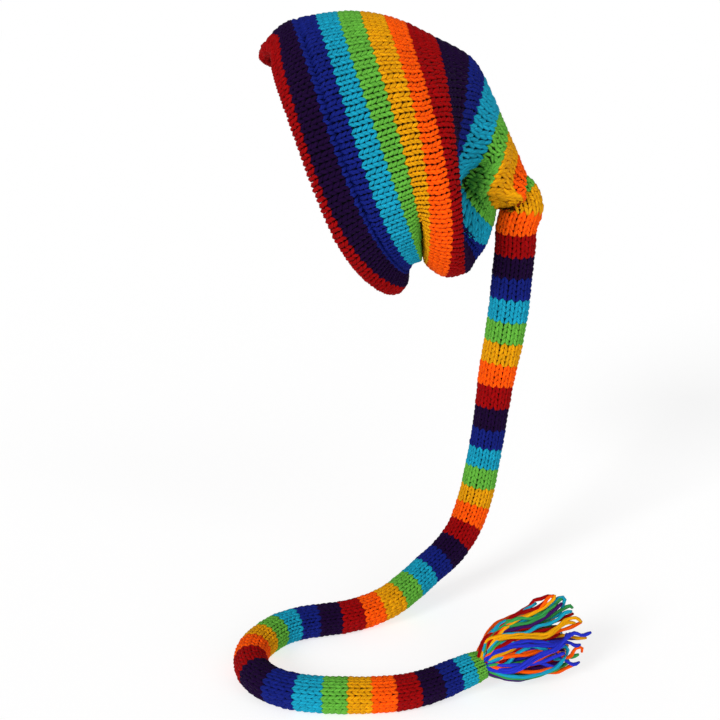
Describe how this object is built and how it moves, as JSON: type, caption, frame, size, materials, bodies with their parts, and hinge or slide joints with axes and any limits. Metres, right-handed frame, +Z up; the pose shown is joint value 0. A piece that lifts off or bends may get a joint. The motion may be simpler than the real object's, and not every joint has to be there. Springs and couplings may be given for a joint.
{
  "type": "knitted beanie with a long tail and tassel",
  "caption": "Slouchy knitted cap in rainbow stripes with a doubled hem, a crown that narrows and kinks into a long knitted tube tail, and a yarn tassel at its end.",
  "frame": {"origin": "middle of the head opening, where a head holds the hat", "axes": "+Z up, the wearer faces -X, and -Y is the side that the picture shows, the wearer's left"},
  "size_m": [0.2283, 0.271, 0.4249],
  "materials": {
    "hem_knit": "matte thick yarn, stocking stitch, dark red then purple",
    "crown_knit": "matte thick yarn, stocking stitch in rainbow stripes",
    "tail_knit": "matte thick yarn, stocking stitch in rainbow stripes",
    "tassel_yarn": "matte loose yarn in the stripe colours"
  },
  "bodies": {
    "root": {"brim_hem": "hem_knit", "crown": "crown_knit", "tail": "tail_knit", "tassel": "tassel_yarn"}
  },
  "joints": []
}
